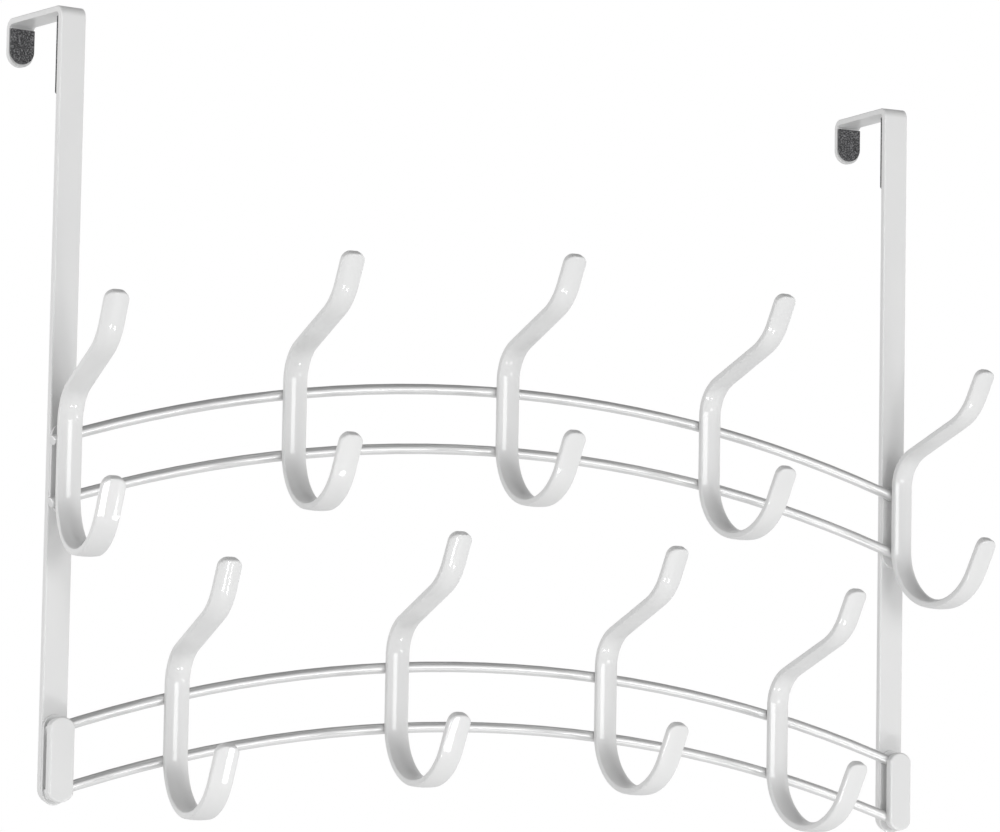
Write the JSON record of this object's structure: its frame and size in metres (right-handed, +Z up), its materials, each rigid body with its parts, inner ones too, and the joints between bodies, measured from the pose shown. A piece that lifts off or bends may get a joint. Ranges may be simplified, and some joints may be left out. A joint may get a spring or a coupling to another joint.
{
  "type": "over door hook rack",
  "caption": "Over-door rack of white double hooks on two pairs of arched rods, hung from a door's top edge by two padded flat-bar brackets.",
  "frame": {"origin": "midway between the two brackets, at the plane of the straps' backs and the undersides of the top plates that rest on the door", "axes": "+X along the door to the right as seen from the room, +Y into the door, +Z up"},
  "size_m": [0.5252, 0.1314, 0.3988],
  "materials": {
    "painted_steel": "gloss pearl white",
    "foam": "matte speckled foam"
  },
  "bodies": {
    "root": {"left_bracket": "painted_steel", "right_bracket": "painted_steel", "left_upper_back_plate": "painted_steel", "right_upper_back_plate": "painted_steel", "left_lower_back_plate": "painted_steel", "right_lower_back_plate": "painted_steel", "left_end_cap": "painted_steel", "right_end_cap": "painted_steel", "upper_tier_top_rod": "painted_steel", "upper_tier_bottom_rod": "painted_steel", "lower_tier_top_rod": "painted_steel", "lower_tier_bottom_rod": "painted_steel", "upper_hook_1": "painted_steel", "upper_hook_2": "painted_steel", "upper_hook_3": "painted_steel", "upper_hook_4": "painted_steel", "upper_hook_5": "painted_steel", "lower_hook_1": "painted_steel", "lower_hook_2": "painted_steel", "lower_hook_3": "painted_steel", "lower_hook_4": "painted_steel", "left_tab_pad": "foam", "right_tab_pad": "foam", "left_strap_pad": "foam", "right_strap_pad": "foam"}
  },
  "joints": []
}
